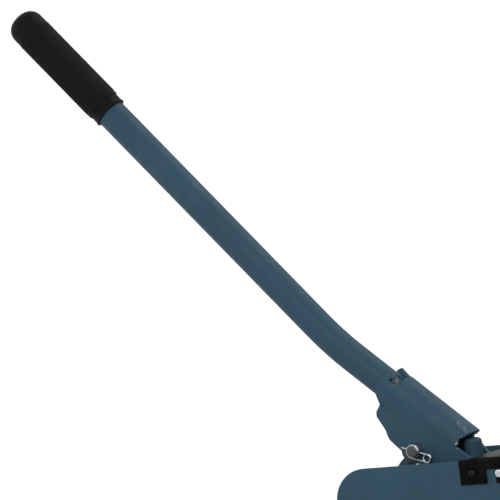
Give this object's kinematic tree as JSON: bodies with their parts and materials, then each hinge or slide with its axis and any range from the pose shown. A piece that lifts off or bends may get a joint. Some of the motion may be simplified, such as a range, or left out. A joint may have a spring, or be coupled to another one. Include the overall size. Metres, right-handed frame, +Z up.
{
  "type": "hydraulic hand pump",
  "caption": "Hydraulic hand pump with a bent lever on a pressed yoke, a plunger pump and an oil tank between two sheet side plates under a black cover.",
  "frame": {"origin": "centre of the base plate's bolt holes, on its underside", "axes": "+X from the lever's end towards the tank, +Y towards the rear side plate, +Z up"},
  "size_m": [0.7486, 0.193, 0.7203],
  "materials": {
    "blue_paint": "satin",
    "black_paint": "gloss",
    "zinc": "satin",
    "bright_steel": "ground",
    "cast_iron": "cast",
    "bronze": "satin",
    "seal_rubber": "matte",
    "grip_rubber": "matte",
    "black_plastic": "satin"
  },
  "bodies": {
    "chassis": {"front_side_plate": "blue_paint", "rear_side_plate": "blue_paint", "base_plate": "blue_paint", "tank_shell": "blue_paint", "tank_lid": "blue_paint", "fulcrum_post": "blue_paint", "top_cover": "black_paint", "cover_screws": "black_paint", "base_screws": "zinc", "side_bolts": "zinc", "side_washers": "zinc", "cover_studs": "zinc", "stud_nuts": "zinc", "lid_screws": "zinc", "filler_neck": "zinc", "drain_plug": "zinc", "outlet_adaptor": "zinc", "relief_cap": "zinc", "suction_pipe": "bright_steel", "return_pipe": "bright_steel", "cylinder_liner": "bright_steel", "gland_nut": "bright_steel", "suction_union": "bright_steel", "suction_spring": "bright_steel", "delivery_spring": "bright_steel", "relief_spring": "bright_steel", "relief_screw": "bright_steel", "release_nut": "bright_steel", "pump_block": "cast_iron", "suction_strainer": "bronze", "outlet_washer": "bronze", "fulcrum_bush": "bronze", "tank_gasket": "seal_rubber", "tank_grommets": "seal_rubber", "rod_seal": "seal_rubber", "rod_wiper": "seal_rubber"},
    "lever": {"lever_yoke": "blue_paint", "handle_tube": "blue_paint", "handle_grip": "grip_rubber", "piston_pin": "zinc", "r_clip": "zinc", "fulcrum_pin": "zinc", "fulcrum_circlips": "bright_steel"},
    "piston": {"piston_crosshead": "bright_steel", "piston_plunger": "bright_steel"},
    "release_valve": {"release_spindle": "bright_steel", "release_knob": "black_plastic"},
    "filler": {"filler_cap": "black_plastic", "filler_seal": "seal_rubber"},
    "suction_valve": {"suction_ball": "bright_steel"},
    "delivery_valve": {"delivery_ball": "bright_steel"},
    "relief_valve": {"relief_ball": "bright_steel"}
  },
  "joints": [
    {"name": "lever_swing", "type": "hinge", "parent": "chassis", "child": "lever", "pos_m": [-0.05, 0, 0.173], "axis": [0, -1, 0], "range_deg": [0, 40]},
    {"name": "piston_stroke", "type": "slide", "parent": "chassis", "child": "piston", "axis": [0, 0, -1], "range_m": [0, 0.04514]},
    {"name": "release_turn", "type": "hinge", "parent": "chassis", "child": "release_valve", "pos_m": [-0.16011, 0.024, 0.068], "axis": [-1, 0, 0], "range_deg": [0, 270]},
    {"name": "cap_turn", "type": "hinge", "parent": "chassis", "child": "filler", "pos_m": [0.13, 0, 0.2], "axis": [0, 0, 1], "range_deg": [0, 330]},
    {"name": "suction_lift", "type": "slide", "parent": "chassis", "child": "suction_valve", "axis": [-1, 0, 0], "range_m": [0, 0.0012], "stiffness_N_per_m": 200, "springref_m": -0.003, "deforming": ["suction_spring"]},
    {"name": "delivery_lift", "type": "slide", "parent": "chassis", "child": "delivery_valve", "axis": [-1, 0, 0], "range_m": [0, 0.0012], "stiffness_N_per_m": 200, "springref_m": -0.003, "deforming": ["delivery_spring"]},
    {"name": "relief_lift", "type": "slide", "parent": "chassis", "child": "relief_valve", "axis": [0, 0, 1], "range_m": [0, 0.0008], "stiffness_N_per_m": 400, "springref_m": -0.003, "deforming": ["relief_spring"]}
  ],
  "couplings": [
    {"joint": "piston_stroke", "follows": "lever_swing", "m_per_rad": 0.064627}
  ]
}
